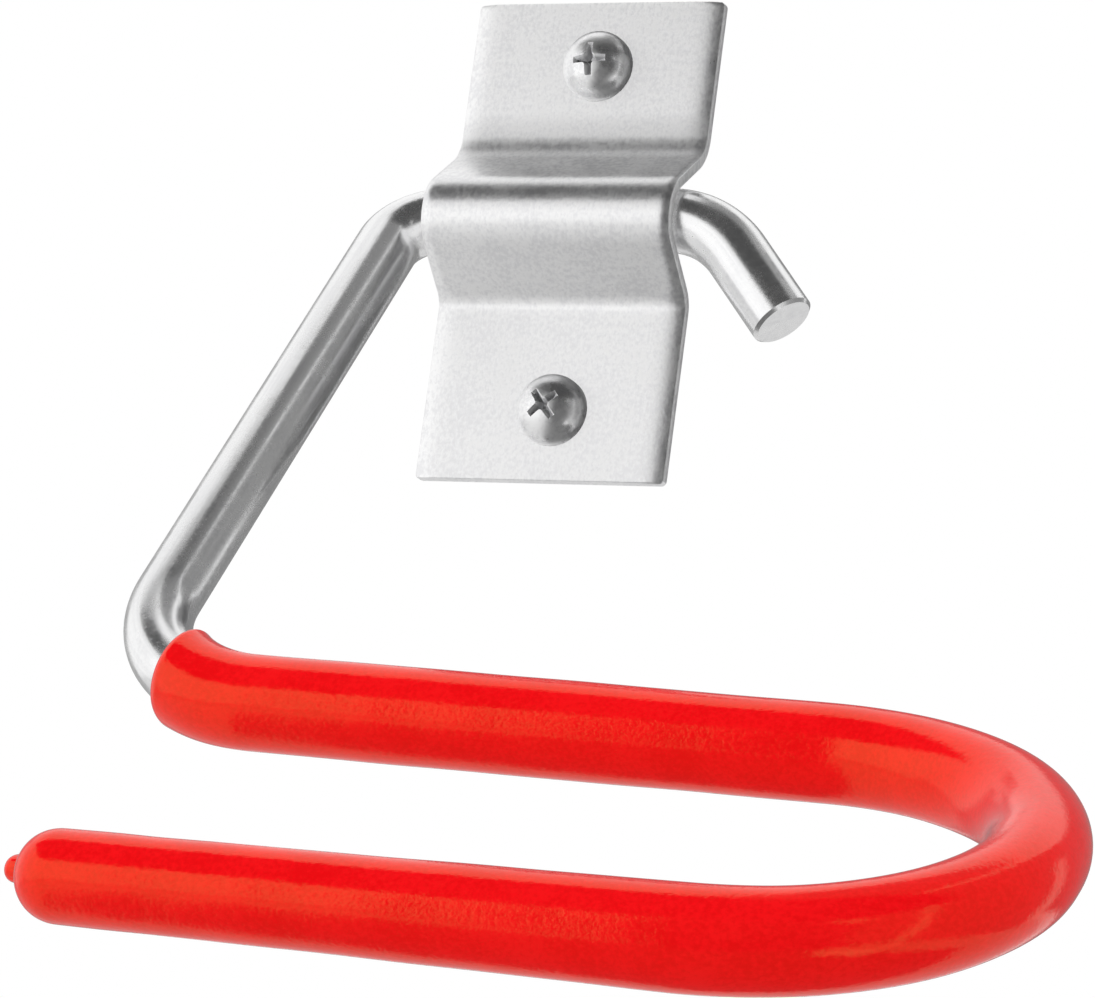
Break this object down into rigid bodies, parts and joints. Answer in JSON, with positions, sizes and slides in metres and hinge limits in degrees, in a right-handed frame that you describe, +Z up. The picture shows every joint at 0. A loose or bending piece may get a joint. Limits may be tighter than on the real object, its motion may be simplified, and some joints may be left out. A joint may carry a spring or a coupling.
{
  "type": "ski wall bracket",
  "caption": "Wall bracket for skis: a zinc-plated saddle plate holds a bent steel rod whose U-shaped hook, dipped in red vinyl, folds up against the wall.",
  "frame": {"origin": "on the wall, midway between the two screws", "axes": "+X along the wall to the right, +Y into the wall, +Z up"},
  "size_m": [0.1567, 0.1692, 0.1753],
  "materials": {
    "zinc_sheet": "bright zinc plate on a fine-grained sheared sheet",
    "zinc_rod": "bright zinc plate on drawn rod, with faint lines along it",
    "red_vinyl": "semi-gloss dipped vinyl with a slightly uneven surface",
    "zinc_screw": "bright zinc plate, smooth"
  },
  "bodies": {
    "bracket": {"wall_plate": "zinc_sheet", "screw_upper": "zinc_screw", "screw_lower": "zinc_screw"},
    "hook": {"hook_rod": "zinc_rod", "vinyl_sleeve": "red_vinyl"}
  },
  "joints": [
    {"name": "hook_fold", "type": "hinge", "parent": "bracket", "child": "hook", "pos_m": [0, -0.0051, 0.002], "axis": [-1, 0, 0], "range_deg": [0, 134]}
  ]
}
